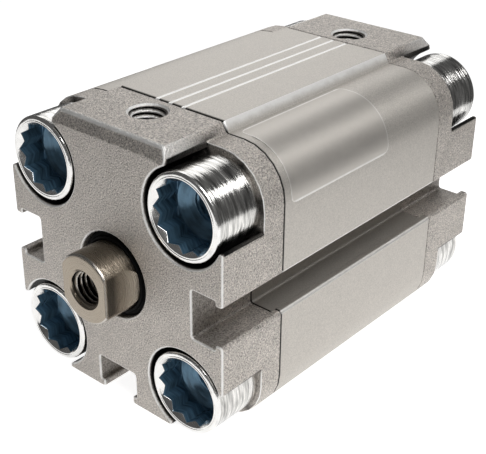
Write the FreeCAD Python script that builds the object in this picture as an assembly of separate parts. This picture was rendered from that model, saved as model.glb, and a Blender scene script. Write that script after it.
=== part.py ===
import FreeCAD, Part
import math
import os

# Compact pneumatic cylinder with a square profile barrel and two end caps.
# Millimetres. The origin is on the rod axis, in the plane of the front mounting face.
# Seen from the rod end X points right and Z up to the air ports. Y runs from the
# rod end to the rear. The rod is drawn in, its rest position.

# Bore and stroke
bore_radius = 12.5
rod_share_of_bore = 0.4
stroke = 20.0
end_clearance = 0.05
seal_clearance = 0.03
guide_clearance = 0.05

# Profile shared by the caps and the barrel
profile_wall = 7.25
corner_radius = 6.75
pad_height = 1.4
pad_flank_run = 0.85
bore_wall = 2.0
slot_half_width = 3.6
slot_lip_overhang = 0.75
slot_lip_thickness = 1.25
slot_lip_round = 0.5
mark_spacing = 2.4
mark_width = 0.5
mark_depth = 0.25

# End caps
cap_length = 11.6
spigot_length = 2.8
spigot_clearance = 0.05
ring_groove_wall = 0.6
ring_groove_depth = 1.3
ring_clearance = 0.02
ring_section_flats = 6
pad_bevel_length = 1.2
pad_bevel_drop = 1.7

# Air ports and the passages from them to the bore
port_to_joint = 3.9
port_radius = 2.1
port_depth = 5.5
drop_radius = 1.3
drop_overrun = 0.15
passage_wall = 0.35

# Cap screws, and the pockets that they stand in
head_edge_gap = 0.75
head_set_back = 0.1
head_chamfer = 0.4
pocket_floor_thickness = 3.9
pocket_clearance = 0.65
pocket_opening_offset = 2.7
pocket_mouth_chamfer = 0.35
socket_rim = 1.4
socket_tooth_height = 1.1
socket_points = 12
socket_floor_thickness = 2.1
shank_radius = 4.0
shank_hole_clearance = 0.25
shank_grip = 9.0
tapped_clearance = 0.05
mounting_thread_radius = 2.1
mounting_thread_depth = 8.0

# Piston rod
rod_reach = 5.0
rod_chamfer = 0.5
flat_depth = 1.0
flat_length = 2.7
flat_cutter_radius = 6.0
rod_thread_radius = 2.1
rod_thread_depth = 12.0
rod_thread_mouth_chamfer = 0.7
stud_shoulder = 2.0
stud_clearance = 0.05
stud_set_back = 0.1

# Bush and seal in the front cap
mouth_gap = 1.25
mouth_depth = 1.2
rod_seal_space = 2.4
rod_seal_groove_length = 3.4
rod_seal_clearance = 0.05
wiper_set_back = 0.1
wiper_lip_thickness = 0.5
wiper_shoulder_clearance = 0.1
wiper_shoulder_reach = 0.7
land_gap = 0.4
land_length = 0.6
bush_wall = 1.0
bush_running_clearance = 0.03
bush_seat_clearance = 0.02

# End-of-stroke bumpers
bumper_rod_gap = 0.6
bumper_width = 2.6
bumper_seat_depth = 0.8
bumper_seat_clearance = 0.05
bumper_stand_out = 0.6

# Piston
piston_clearance = 0.2
piston_disc_length = 3.8
magnet_length = 1.8
seal_groove_wall = 1.0
seal_groove_depth = 2.3
seal_lip_thickness = 0.7
guide_space = 1.5
magnet_thickness = 2.1
magnet_clearance = 0.03
nut_wall = 2.0
nut_height = 2.7
nut_set_back = 0.1
nut_pocket_gap = 0.33

# Places along the rod axis
piston_length = 2 * piston_disc_length + magnet_length
end_space = spigot_length + bumper_stand_out + end_clearance
barrel_length = stroke + piston_length + 2 * end_space
barrel_front = cap_length
barrel_rear = barrel_front + barrel_length
overall_length = barrel_rear + cap_length
piston_rear = barrel_rear - end_space
piston_front = piston_rear - piston_length

# Sizes of the profile and the caps that follow from the ones above
half_side = bore_radius + profile_wall
screw_offset = half_side - corner_radius
slot_floor = bore_radius + bore_wall
slot_mouth_half_width = slot_half_width - slot_lip_overhang
pad_base_half_width = screw_offset - pocket_opening_offset
pad_top_half_width = pad_base_half_width - pad_flank_run
pad_top = half_side + pad_height
spigot_radius = bore_radius - spigot_clearance
ring_groove_floor = spigot_radius - ring_groove_depth
port_distance = cap_length - port_to_joint
head_radius = corner_radius - head_edge_gap
pocket_depth = cap_length - pocket_floor_thickness
socket_floor = pocket_depth - socket_floor_thickness
socket_tip_radius = head_radius - socket_rim
socket_notch_radius = socket_tip_radius - socket_tooth_height
tapped_radius = shank_radius + tapped_clearance

# Sizes that follow from the rod and the bore
rod_radius = rod_share_of_bore * bore_radius
stud_radius = rod_radius - stud_shoulder
mouth_radius = rod_radius + mouth_gap
rod_seal_groove_radius = rod_radius + rod_seal_space
land_radius = rod_radius + land_gap
bush_radius = rod_radius + bush_wall
bumper_inner_radius = rod_radius + bumper_rod_gap
bumper_outer_radius = bumper_inner_radius + bumper_width
bumper_seat_radius = bumper_outer_radius + bumper_seat_clearance
passage_height = (ring_groove_floor + bumper_seat_radius) / 2
passage_radius = (ring_groove_floor - bumper_seat_radius) / 2 - passage_wall
piston_radius = bore_radius - piston_clearance
seal_groove_floor = piston_radius - seal_groove_depth
seal_groove_width = piston_disc_length - 2 * seal_groove_wall
magnet_radius = bore_radius - guide_space
hub_radius = magnet_radius - magnet_thickness
nut_corner_radius = (stud_radius + nut_wall) / math.cos(math.pi / 6)
nut_pocket_radius = nut_corner_radius + nut_pocket_gap
nut_pocket_depth = nut_height + nut_set_back

# How far a cutter reaches past what it cuts
past = 2.0

CORNERS = ((-1, 1), (1, 1), (-1, -1), (1, -1))


def vector(x, y, z):
    return FreeCAD.Vector(x, y, z)


def turned(points):
    """Solid turned about the Y axis from an outline of (radius, y) points."""
    outline = [vector(radius, y, 0) for radius, y in points]
    face = Part.Face(Part.makePolygon(outline + outline[:1]))
    return face.revolve(vector(0, 0, 0), vector(0, 1, 0), 360)


def ring(inner, outer, start, length):
    """Plain ring about the Y axis, or a disc where the inner radius is nothing."""
    body = Part.makeCylinder(outer, length, vector(0, start, 0), vector(0, 1, 0))
    if inner > 0:
        hole = Part.makeCylinder(inner, length, vector(0, start, 0), vector(0, 1, 0))
        body = body.cut(hole)
    return body


def prism(points, start, length):
    """Prism along Y from an outline of (x, z) points."""
    outline = [vector(x, start, z) for x, z in points]
    face = Part.Face(Part.makePolygon(outline + outline[:1]))
    return face.extrude(vector(0, length, 0))


def mirrored_end(shape):
    """The same shape at the other end of the cylinder."""
    return shape.mirror(vector(0, overall_length / 2, 0), vector(0, 1, 0))


def slot_cutter(start, length):
    """T-slot on the +X side, its lips rounded at the mouth."""
    lip_inside = half_side - slot_lip_thickness
    lip_start = half_side - slot_lip_round
    round_end = slot_mouth_half_width + slot_lip_round
    middle = slot_lip_round * (1 - math.sqrt(0.5))

    def at(x, z):
        return vector(x, start, z)

    def rounded_lip(side):
        return Part.Arc(
            at(lip_start, side * slot_mouth_half_width),
            at(half_side - middle, side * (slot_mouth_half_width + middle)),
            at(half_side, side * round_end)).toShape()

    def line(a, b):
        return Part.makeLine(at(*a), at(*b))

    edges = [
        line((slot_floor, -slot_half_width), (slot_floor, slot_half_width)),
        line((slot_floor, slot_half_width), (lip_inside, slot_half_width)),
        line((lip_inside, slot_half_width), (lip_inside, slot_mouth_half_width)),
        line((lip_inside, slot_mouth_half_width), (lip_start, slot_mouth_half_width)),
        rounded_lip(1),
        line((half_side, round_end), (half_side + past, round_end)),
        line((half_side + past, round_end), (half_side + past, -round_end)),
        line((half_side + past, -round_end), (half_side, -round_end)),
        rounded_lip(-1),
        line((lip_start, -slot_mouth_half_width), (lip_inside, -slot_mouth_half_width)),
        line((lip_inside, -slot_mouth_half_width), (lip_inside, -slot_half_width)),
        line((lip_inside, -slot_half_width), (slot_floor, -slot_half_width)),
    ]
    wire = Part.Wire(Part.__sortEdges__(edges))
    return Part.Face(wire).extrude(vector(0, length, 0))


def profile_block(start, length):
    """Square bar with round corners, a raised pad on top and a T-slot on three sides."""
    side = 2 * half_side
    block = Part.makeBox(side, length, side, vector(-half_side, start, -half_side))
    corners = [e for e in block.Edges if abs(e.Length - length) < 1e-6 and is_along_y(e)]
    block = block.makeFillet(corner_radius, corners)
    pad = prism([
        (-pad_base_half_width, 0), (-pad_base_half_width, half_side),
        (-pad_top_half_width, pad_top), (pad_top_half_width, pad_top),
        (pad_base_half_width, half_side), (pad_base_half_width, 0)], start, length)
    block = block.fuse(pad).removeSplitter()
    for quarter_turns in (0, 1, 2):
        cutter = slot_cutter(start - past, length + 2 * past)
        cutter.rotate(vector(0, 0, 0), vector(0, 1, 0), 90 * quarter_turns)
        block = block.cut(cutter)
    return block


def is_along_y(edge):
    direction = edge.tangentAt(edge.FirstParameter)
    return abs(direction.y) > 0.999


def at_corner(shape, corner):
    """A copy of a shape made on the Y axis, moved to one of the four screw axes.

    What points to the +X +Z corner in the shape then points to the corner that it is at.
    """
    moved = shape.copy()
    if corner[0] < 0:
        moved = moved.mirror(vector(0, 0, 0), vector(1, 0, 0))
    if corner[1] < 0:
        moved = moved.mirror(vector(0, 0, 0), vector(0, 0, 1))
    moved.translate(vector(corner[0] * screw_offset, 0, corner[1] * screw_offset))
    return moved


def pocket_cutter():
    """Pocket round a screw head, open towards the +X +Z corner, and the hole for the shank."""
    radius = head_radius + pocket_clearance
    mouth = radius + pocket_mouth_chamfer
    pocket = turned([
        (0, -past), (mouth, -past), (mouth, 0), (radius, pocket_mouth_chamfer),
        (radius, pocket_depth), (0, pocket_depth)])
    reach = radius + pocket_opening_offset + past
    opening = Part.makeBox(reach, pocket_depth + past, reach,
                           vector(-pocket_opening_offset, -past, -pocket_opening_offset))
    hole = ring(0, shank_radius + shank_hole_clearance, -past, cap_length + 2 * past)
    return pocket.fuse([opening, hole])


def port_cutter():
    """Air port from the top of the pad, and the passage that leads it to the bore."""
    down = vector(0, 0, -1)
    top = vector(0, port_distance, pad_top)
    port = Part.makeCylinder(port_radius, port_depth, top, down)
    drop_end = passage_height - passage_radius - drop_overrun
    drop = Part.makeCylinder(drop_radius, pad_top - drop_end, top, down)
    lead_length = cap_length + spigot_length - port_distance
    lead = Part.makeCylinder(passage_radius, lead_length + past,
                             vector(0, port_distance, passage_height), vector(0, 1, 0))
    return port.fuse([drop, lead])


def plain_cap():
    """Cap as it is at either end: profile, spigot, pockets, port, bumper seat."""
    cap = profile_block(0, cap_length)
    cap = cap.fuse(ring(0, spigot_radius, cap_length, spigot_length))
    bevel = Part.makePolygon([
        vector(-pad_base_half_width, 0, pad_top),
        vector(-pad_base_half_width, pad_bevel_length, pad_top),
        vector(-pad_base_half_width, 0, pad_top - pad_bevel_drop),
        vector(-pad_base_half_width, 0, pad_top)])
    cap = cap.cut(Part.Face(bevel).extrude(vector(2 * pad_base_half_width, 0, 0)))
    for corner in CORNERS:
        cap = cap.cut(at_corner(pocket_cutter(), corner))
    cap = cap.cut(ring(ring_groove_floor, spigot_radius + past,
                       cap_length + ring_groove_wall, spigot_length - 2 * ring_groove_wall))
    seat_start = cap_length + spigot_length - bumper_seat_depth
    cap = cap.cut(ring(0, bumper_seat_radius, seat_start, bumper_seat_depth + past))
    return cap.cut(port_cutter())


def front_cap():
    """Front cap, bored for the rod, its seal and its bush."""
    seal_start = mouth_depth
    seal_end = seal_start + rod_seal_groove_length
    bush_start = seal_end + land_length
    return plain_cap().cut(turned([
        (0, -past), (mouth_radius, -past), (mouth_radius, seal_start),
        (rod_seal_groove_radius, seal_start), (rod_seal_groove_radius, seal_end),
        (land_radius, seal_end), (land_radius, bush_start),
        (bush_radius, bush_start), (bush_radius, cap_length + spigot_length + past),
        (0, cap_length + spigot_length + past)]))


def barrel():
    """Extruded barrel: bore, four tapped holes right through, three fine marks on top."""
    cut_start = barrel_front - past
    cut_length = barrel_length + 2 * past
    body = profile_block(barrel_front, barrel_length)
    body = body.cut(ring(0, bore_radius, cut_start, cut_length))
    for corner in CORNERS:
        body = body.cut(at_corner(ring(0, tapped_radius, cut_start, cut_length), corner))
    for place in (-1, 0, 1):
        middle = place * mark_spacing
        body = body.cut(prism([
            (middle - mark_width / 2, pad_top), (middle, pad_top - mark_depth),
            (middle + mark_width / 2, pad_top), (middle, pad_top + mark_depth)],
            cut_start, cut_length))
    return body


def star(start, length):
    """Prism with the socket's star outline, its points and notches by turns."""
    turn = math.pi / socket_points
    radii = (socket_tip_radius, socket_notch_radius)
    outline = [(radii[step % 2] * math.cos(turn * step), radii[step % 2] * math.sin(turn * step))
               for step in range(2 * socket_points)]
    return prism(outline, start, length)


def cap_screw():
    """Hollow socket screw: star socket, then a thread for whatever the cylinder is mounted on."""
    shank_end = cap_length + shank_grip
    body = turned([
        (0, head_set_back), (head_radius - head_chamfer, head_set_back),
        (head_radius, head_set_back + head_chamfer), (head_radius, pocket_depth),
        (shank_radius, pocket_depth), (shank_radius, shank_end), (0, shank_end)])
    body = body.cut(star(0, socket_floor))
    return body.cut(ring(0, mounting_thread_radius, socket_floor - past,
                         mounting_thread_depth + past))


def piston_rod():
    """Rod with a threaded end, two wrench flats and a stud for the piston."""
    tip = -rod_reach
    stud_end = piston_rear - stud_set_back
    thread_mouth = rod_thread_radius + rod_thread_mouth_chamfer
    thread_end = tip + rod_thread_depth
    rod = turned([
        (0, tip), (rod_radius - rod_chamfer, tip), (rod_radius, tip + rod_chamfer),
        (rod_radius, piston_front), (stud_radius, piston_front),
        (stud_radius, stud_end), (0, stud_end)])
    rod = rod.cut(turned([
        (0, tip - past), (thread_mouth, tip - past), (thread_mouth, tip),
        (rod_thread_radius, tip + rod_thread_mouth_chamfer), (rod_thread_radius, thread_end),
        (0, thread_end)]))
    right = flat_cutter()
    left = right.mirror(vector(0, 0, 0), vector(1, 0, 0))
    return rod.cut(right).cut(left)


def flat_cutter():
    """Slab beyond the +X wrench flat, its end rounded as a disc cutter leaves it."""
    flat = rod_radius - flat_depth
    low = -rod_radius - past
    height = -2 * low
    slab = Part.makeBox(flat_depth + past, past + flat_length, height,
                        vector(flat, -rod_reach - past, low))
    run_out = Part.makeCylinder(flat_cutter_radius, height,
                                vector(flat + flat_cutter_radius, flat_length - rod_reach, low),
                                vector(0, 0, 1))
    return slab.fuse(run_out)


def rod_seal():
    """Rod seal with a wiper lip that leans out against the rod in the cap's mouth."""
    start = mouth_depth + rod_seal_clearance
    end = mouth_depth + rod_seal_groove_length - rod_seal_clearance
    inner = rod_radius + rod_seal_clearance
    outer = rod_seal_groove_radius - rod_seal_clearance
    shoulder = mouth_radius - wiper_shoulder_clearance
    shoulder_front = mouth_depth - wiper_shoulder_reach
    return turned([
        (inner, wiper_set_back), (inner + wiper_lip_thickness, wiper_set_back),
        (shoulder, shoulder_front), (shoulder, start), (outer, start), (outer, end),
        (inner + wiper_lip_thickness, end), (inner, end - wiper_lip_thickness)])


def rod_bush():
    """Plain bearing bush from the seal's land to the bumper."""
    start = mouth_depth + rod_seal_groove_length + land_length
    end = cap_length + spigot_length - bumper_seat_depth
    return ring(rod_radius + bush_running_clearance, bush_radius - bush_seat_clearance,
                start, end - start)


def cap_ring():
    """O-ring between the front cap's spigot and the bore, its round section in flats."""
    section = (bore_radius - ring_groove_floor) / 2 - ring_clearance
    middle = (bore_radius + ring_groove_floor) / 2
    centre = cap_length + spigot_length / 2
    angles = [2 * math.pi * step / ring_section_flats for step in range(ring_section_flats)]
    return turned([(middle + section * math.cos(angle), centre + section * math.sin(angle))
                   for angle in angles])


def bumper():
    """Front bumper ring in its seat on the spigot's face."""
    start = cap_length + spigot_length - bumper_seat_depth
    return ring(bumper_inner_radius, bumper_outer_radius, start,
                bumper_seat_depth + bumper_stand_out)


def piston_disc(start):
    """One half of the piston, with the groove of its lip seal."""
    disc = ring(stud_radius + stud_clearance, piston_radius, start, piston_disc_length)
    return disc.cut(ring(seal_groove_floor, piston_radius + past,
                         start + seal_groove_wall, seal_groove_width))


def piston_front_disc():
    """Front half, with the hub that centres the magnet."""
    hub = ring(stud_radius + stud_clearance, hub_radius,
               piston_front + piston_disc_length, magnet_length)
    return piston_disc(piston_front).fuse(hub).removeSplitter()


def piston_rear_disc():
    """Rear half, with the pocket that the nut sits in."""
    disc = piston_disc(piston_rear - piston_disc_length)
    return disc.cut(ring(0, nut_pocket_radius, piston_rear - nut_pocket_depth,
                         nut_pocket_depth + past))


def piston_seal(start, facing):
    """Lip seal in its groove. The lip opens forwards (-1) or backwards (1)."""
    inner = seal_groove_floor + seal_clearance
    outer = bore_radius - seal_clearance
    half = seal_groove_width / 2 - seal_clearance
    middle = start + seal_groove_wall + seal_groove_width / 2
    base = middle - facing * half
    lip = middle + facing * half
    notch = middle - facing * (half - seal_lip_thickness)
    return turned([
        (inner, base), (outer - seal_lip_thickness / 2, base), (outer, lip),
        (outer - seal_lip_thickness, lip), ((inner + outer) / 2, notch),
        (inner + seal_lip_thickness, lip), (inner, lip)])


def magnet_ring():
    """Magnet ring on the hub between the piston's halves."""
    return ring(hub_radius + magnet_clearance, magnet_radius,
                piston_front + piston_disc_length + magnet_clearance,
                magnet_length - 2 * magnet_clearance)


def guide_ring():
    """Guide ring round the magnet. It slides with the piston, which can turn inside it."""
    return ring(magnet_radius + guide_clearance, bore_radius - guide_clearance,
                piston_front + piston_disc_length + guide_clearance,
                magnet_length - 2 * guide_clearance)


def piston_nut():
    """Thin hexagon nut on the rod's stud."""
    start = piston_rear - nut_pocket_depth
    angles = [math.pi / 3 * corner for corner in range(6)]
    outline = [(nut_corner_radius * math.cos(angle), nut_corner_radius * math.sin(angle))
               for angle in angles]
    nut = prism(outline, start, nut_height)
    return nut.cut(ring(0, stud_radius + stud_clearance, start, nut_height))


def all_nodes():
    """Every piece by its name."""
    nodes = {
        "front_cap": front_cap(),
        "barrel": barrel(),
        "rear_cap": mirrored_end(plain_cap()),
        "piston_rod": piston_rod(),
        "rod_seal": rod_seal(),
        "rod_bush": rod_bush(),
        "front_cap_o_ring": cap_ring(),
        "rear_cap_o_ring": mirrored_end(cap_ring()),
        "front_bumper": bumper(),
        "rear_bumper": mirrored_end(bumper()),
        "piston_front_disc": piston_front_disc(),
        "piston_rear_disc": piston_rear_disc(),
        "piston_front_seal": piston_seal(piston_front, -1),
        "piston_rear_seal": piston_seal(piston_rear - piston_disc_length, 1),
        "magnet_ring": magnet_ring(),
        "guide_ring": guide_ring(),
        "piston_nut": piston_nut(),
    }
    for number, corner in enumerate(CORNERS, start=1):
        screw = at_corner(cap_screw(), corner)
        nodes["front_cap_screw_%d" % number] = screw
        nodes["rear_cap_screw_%d" % number] = mirrored_end(screw)
    return nodes


os.makedirs("parts", exist_ok=True)
for name, shape in all_nodes().items():
    solid = shape.Solids[0]
    solid.exportStep("parts/%s.step" % name)
    print("%-22s %9.2f mm3" % (name, solid.Volume))
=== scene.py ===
import math

import bmesh
import bpy
import numpy as np
from bpy.props import FloatProperty, FloatVectorProperty, PointerProperty
from mathutils import Matrix, Vector
from mathutils.geometry import delaunay_2d_cdt


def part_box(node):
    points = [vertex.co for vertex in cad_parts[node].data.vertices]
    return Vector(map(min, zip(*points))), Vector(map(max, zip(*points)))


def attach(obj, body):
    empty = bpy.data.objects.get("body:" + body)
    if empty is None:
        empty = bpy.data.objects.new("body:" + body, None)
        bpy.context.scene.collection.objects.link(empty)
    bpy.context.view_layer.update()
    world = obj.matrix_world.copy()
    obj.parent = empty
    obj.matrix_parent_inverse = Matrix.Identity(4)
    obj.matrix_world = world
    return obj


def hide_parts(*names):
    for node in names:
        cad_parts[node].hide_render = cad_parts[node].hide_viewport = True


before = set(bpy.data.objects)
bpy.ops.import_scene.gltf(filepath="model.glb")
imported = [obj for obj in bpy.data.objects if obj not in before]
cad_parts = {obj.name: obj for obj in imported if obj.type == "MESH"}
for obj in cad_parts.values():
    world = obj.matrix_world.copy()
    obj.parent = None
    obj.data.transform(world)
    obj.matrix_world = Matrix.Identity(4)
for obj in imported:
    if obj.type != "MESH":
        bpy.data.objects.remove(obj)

bl_info = {
    "name": "Pneumatic Cylinder",
    "version": (1, 0, 0),
    "blender": (4, 5, 0),
    "location": "View3D > Sidebar > Cylinder",
    "description": "Builds the looks of a compact pneumatic cylinder on its CAD frame",
    "category": "Object",
}

MM = 0.001


def measured(name, corner, axis):
    """One coordinate of a CAD node's box in millimetres; corner 0 is the lowest, 1 the highest."""
    return round(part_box(name)[corner][axis] / MM, 3)


# Places and sizes that the boxes of the CAD parts give, in millimetres
LENGTH = measured("rear_cap", 1, 1)
CAP = measured("barrel", 0, 1)
SIDE = measured("barrel", 1, 0)
PAD = measured("barrel", 1, 2)
SPIGOT_END = measured("front_cap", 1, 1)
HEAD_FACE = measured("front_cap_screw_2", 0, 1)
SHANK_END = measured("front_cap_screw_2", 1, 1)
ROD_FACE = measured("piston_rod", 0, 1)
ROD_END = measured("piston_rod", 1, 1)
ROD_SHOULDER = measured("piston_front_disc", 0, 1)

# Other places and sizes that the looks share with the CAD parts
SCREW = 13.0
CORNERS = ((-1, 1), (1, 1), (-1, -1), (1, -1))
CORNER = 6.75
PAD_HALF = 9.45
MARK_SPACING = 2.4
SLOT_MOUTH = 2.85
SLOT_HALF = 3.6
SLOT_LIP = 1.25
SLOT_FLOOR = 14.5
POCKET = 6.65
POCKET_DEPTH = 7.7
OPENING = 10.3
BORE = 12.5
SPIGOT = 12.45
RING_GROOVE = 11.15
RING_WALL = 0.6
BUMPER_SEAT = 8.25
BUMPER_FLOOR = 13.6
SHANK = 4.0
SHANK_HOLE = 4.25
BARREL_HOLE = 4.05
HEAD = 6.0
STAR_POINTS = 12
THREAD = 2.1
PORT_TO_JOINT = 3.9
PORT_DEPTH = 5.5
MOUTH = 6.25
MOUTH_END = 1.2
SEAL_SEAT = 7.4
SEAL_SEAT_END = 4.6
LAND = 5.4
LAND_END = 5.2
BUSH_SEAT = 6.0
ROD = 5.0
STUD = 3.0
FLAT = 4.0
FLAT_END = -2.3
CUTTER = 6.0
ROD_THREAD_END = 7.0

# Extra points, close to a corner on the flats and low on the pad's flank, and extra rows, as
# shares of the way from the front edge to the pocket floors: they hold the shading at edges
BESIDE_CORNER = (9.95, 10.35, 10.7)
FLANK_FOOT = (10.183, 19.942, 0)
SHARES = (0.0, 0.015, 0.05, 1.0)

# Angles round an edge, how much painted highlight and scuffing it gets at each, and the radius that
# closes a pole
QUARTER = np.radians(np.linspace(0, 90, 6))
EDGE_HIGHLIGHT_AND_WEAR = np.sin(2 * QUARTER)
POLE = 0.001


def length(name, description, millimetres):
    """A length property, its default given in millimetres."""
    return FloatProperty(name=name, description=description, default=millimetres * MM,
                         unit="LENGTH", subtype="DISTANCE", precision=5)


def amount(name, description, value):
    return FloatProperty(name=name, description=description, default=value, precision=3)


def angle(name, description, degrees):
    return FloatProperty(name=name, description=description, default=math.radians(degrees),
                         unit="ROTATION", subtype="ANGLE")


def colour(name, description, value):
    return FloatVectorProperty(name=name, description=description, default=value,
                               subtype="COLOR", size=3, min=0, max=1)


# Surfaces

class Skin:
    """Patches of one piece's surface, gathered in millimetres and joined into one mesh."""

    def __init__(self):
        self.points = []
        self.wear = []
        self.deep = []
        self.faces = []
        self.total = 0

    def add(self, points, faces, wear=0.0, deep=0.0):
        """Adds faces over an array of points.

        The highlight and scuffing mask is 1 where edges get painted highlights and some scuffing, and
        deep is 1 where painted shade darkens the colour, with the tint in the screws' sockets.
        """
        points = np.asarray(points, float).reshape(-1, 3)
        self.points.append(points)
        self.wear.append(np.broadcast_to(wear, (len(points),)))
        self.deep.append(np.broadcast_to(deep, (len(points),)))
        self.faces.append(np.asarray(faces) + self.total)
        self.total += len(points)

    def grid(self, points, around=True, wear=0.0, deep=0.0):
        """Adds a surface P(row, column), closed along its columns if it goes around.

        The highlight and scuffing mask and deep are numbers, or arrays of one value per row or per
        row and column.
        """
        rows, columns = points.shape[:2]
        index = np.arange(rows * columns).reshape(rows, columns)
        if around:
            index = np.concatenate((index, index[:, :1]), axis=1)
        quads = np.stack((index[:-1, :-1], index[:-1, 1:], index[1:, 1:], index[1:, :-1]), axis=-1)
        masks = [np.asarray(mask, float) for mask in (wear, deep)]
        masks = [mask if mask.ndim == 2 else mask.reshape(-1, 1) for mask in masks]
        masks = [np.broadcast_to(mask, (rows, columns)).reshape(-1) for mask in masks]
        self.add(points, quads.reshape(-1, 4), *masks)

    def flat(self, rings, height, extra=(), deep=0.0):
        """Fills the region between closed (x, z) rings; height(x, z) gives y."""
        points, triangles = filled(rings, extra)
        y = height(points[:, 0], points[:, 1]) + np.zeros(len(points))
        self.add(np.stack((points[:, 0], y, points[:, 1]), axis=-1), triangles, deep=deep)

    def mirrored(self):
        """Turns every patch end for end along the cylinder."""
        self.points = [np.stack((p[:, 0], LENGTH - p[:, 1], p[:, 2]), axis=-1) for p in self.points]

    def object(self, name, material, sharp=32.0):
        """Joins the patches, turns the faces outwards and gives the object its material."""
        mesh = bpy.data.meshes.new(name)
        faces = [face for patch in self.faces for face in patch.tolist()]
        mesh.from_pydata((np.concatenate(self.points) * MM).tolist(), [], faces)
        for mask, values in (("wear", self.wear), ("deep", self.deep)):
            layer = mesh.attributes.new(mask, "FLOAT", "POINT")
            layer.data.foreach_set("value", np.concatenate(values).astype(np.float32))
        work = bmesh.new()
        work.from_mesh(mesh)
        bmesh.ops.remove_doubles(work, verts=work.verts, dist=2e-6)
        bmesh.ops.recalc_face_normals(work, faces=work.faces)
        work.to_mesh(mesh)
        work.free()
        mesh.shade_smooth()
        mesh.set_sharp_from_angle(angle=math.radians(sharp))
        mesh.materials.append(material)
        item = bpy.data.objects.new(name, mesh)
        bpy.context.scene.collection.objects.link(item)
        weighted = item.modifiers.new("Weighted normals", "WEIGHTED_NORMAL")
        weighted.keep_sharp = True
        return item


def rounded(corners, step=15.0):
    """Closed outline through corners (x, z, radius), each one replaced by its tangent arc."""
    corners = np.asarray(corners, float)
    place, radius = corners[:, :2], corners[:, 2]
    back = np.roll(place, 1, axis=0) - place
    ahead = np.roll(place, -1, axis=0) - place
    back /= np.linalg.norm(back, axis=1)[:, None]
    ahead /= np.linalg.norm(ahead, axis=1)[:, None]
    opening = np.arccos(np.clip((back * ahead).sum(axis=1), -1, 1))
    turn = np.pi - opening
    side = np.where(back[:, 0] * ahead[:, 1] - back[:, 1] * ahead[:, 0] < 0, 1.0, -1.0)
    middle = back + ahead
    size = np.linalg.norm(middle, axis=1)
    middle = middle / np.where(size > 1e-9, size, 1)[:, None]
    centre = place + middle * (radius / np.sin(opening / 2))[:, None]
    start = place + back * (radius / np.tan(opening / 2))[:, None]
    first = np.arctan2(start[:, 1] - centre[:, 1], start[:, 0] - centre[:, 0])
    samples = np.where(radius > 0, np.ceil(turn / math.radians(step)).astype(int) + 1, 1)
    index = np.repeat(np.arange(len(corners)), samples)
    begin = np.cumsum(samples) - samples
    share = (np.arange(len(index)) - begin[index]) / np.maximum(samples - 1, 1)[index]
    at = first[index] + (side * turn)[index] * share
    arc = np.stack((np.cos(at), np.sin(at)), axis=-1) * radius[index][:, None]
    return centre[index] + arc


def inset(outline, distance):
    """The closed outline moved inwards along its mitred normals."""
    ahead = np.roll(outline, -1, axis=0) - outline
    back = outline - np.roll(outline, 1, axis=0)
    ahead /= np.linalg.norm(ahead, axis=1)[:, None]
    back /= np.linalg.norm(back, axis=1)[:, None]
    a = np.stack((-ahead[:, 1], ahead[:, 0]), axis=-1)
    b = np.stack((-back[:, 1], back[:, 0]), axis=-1)
    mitre = (a + b) / (1 + (a * b).sum(axis=1))[:, None]
    return outline + mitre * np.broadcast_to(distance, (len(outline),))[:, None]


def circle(radius, samples=96, x=0.0, z=0.0):
    at = np.arange(samples) * 2 * np.pi / samples
    return np.stack((x + radius * np.cos(at), z + radius * np.sin(at)), axis=-1)


def filled(rings, extra=()):
    """Constrained Delaunay triangles of the region that an odd number of the rings surround."""
    points = np.concatenate([*rings, *extra])
    starts = np.cumsum([0] + [len(ring) for ring in rings])[:-1]
    begin = np.concatenate([s + np.arange(len(r)) for s, r in zip(starts, rings)])
    end = np.concatenate([s + np.roll(np.arange(len(r)), -1) for s, r in zip(starts, rings)])
    a, b = points[begin], points[end]
    found = delaunay_2d_cdt([Vector(p) for p in points.tolist()],
                            np.stack((begin, end), axis=-1).tolist(), [], 0, 1e-6)
    points = np.array([tuple(p) for p in found[0]])
    triangles = np.array(found[2])
    middle = points[triangles].mean(axis=1)
    x, z = middle[:, :1], middle[:, 1:]
    rise = np.where(b[:, 1] == a[:, 1], 1, b[:, 1] - a[:, 1])
    spans = (a[:, 1] > z) != (b[:, 1] > z)
    left = x < a[:, 0] + (b[:, 0] - a[:, 0]) * (z - a[:, 1]) / rise
    used, index = np.unique(triangles[(spans & left).sum(axis=1) % 2 == 1], return_inverse=True)
    return points[used], index.reshape(-1, 3)


def turned(profile, samples=96, x=0.0, z=0.0):
    """Surface of revolution about the line through (x, z) along Y, from (radius, y) points."""
    profile = np.asarray(profile, float)
    ring = circle(1.0, samples)
    radius, y = profile[:, :1], profile[:, 1:]
    return np.stack((x + radius * ring[:, 0], y + 0 * ring[:, 0], z + radius * ring[:, 1]), axis=-1)


def thread_profile(turns, radius, depth):
    """Radius of a V thread: radius + depth |2 frac(turns) - 1|, its crest and root cut flat."""
    wave = np.abs(2 * (turns - np.floor(turns)) - 1)
    return radius + depth * np.clip((wave - 0.12) / 0.74, 0, 1)


# Outline of the profile

def slot_corners():
    """Corners (x, z, radius) of the T-slot on the +X side, upwards."""
    lip = SIDE - SLOT_LIP
    half = [(SIDE, SLOT_MOUTH, 0.5), (lip, SLOT_MOUTH, 0.3), (lip, SLOT_HALF, 0.2),
            (SLOT_FLOOR, SLOT_HALF, 0.4)]
    return np.array([(x, -z, r) for x, z, r in half] + half[::-1])


def plain_corner(raised, pad_edge):
    """Corners (x, z, radius) from the +X side to the +Z side, or to the pad where it is raised."""
    before, after, beyond = BESIDE_CORNER
    corner = [(SIDE, before, 0), (SIDE, after, 0), (SIDE, beyond, 0), (SIDE, SIDE, CORNER),
              (beyond, SIDE, 0)]
    if raised:
        start = (OPENING, SIDE, min(pad_edge, 0.3))
        return np.array(corner + [start, FLANK_FOOT, (PAD_HALF, PAD, pad_edge)])
    return np.array(corner + [(after, SIDE, 0), (before, SIDE, 0)])


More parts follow.
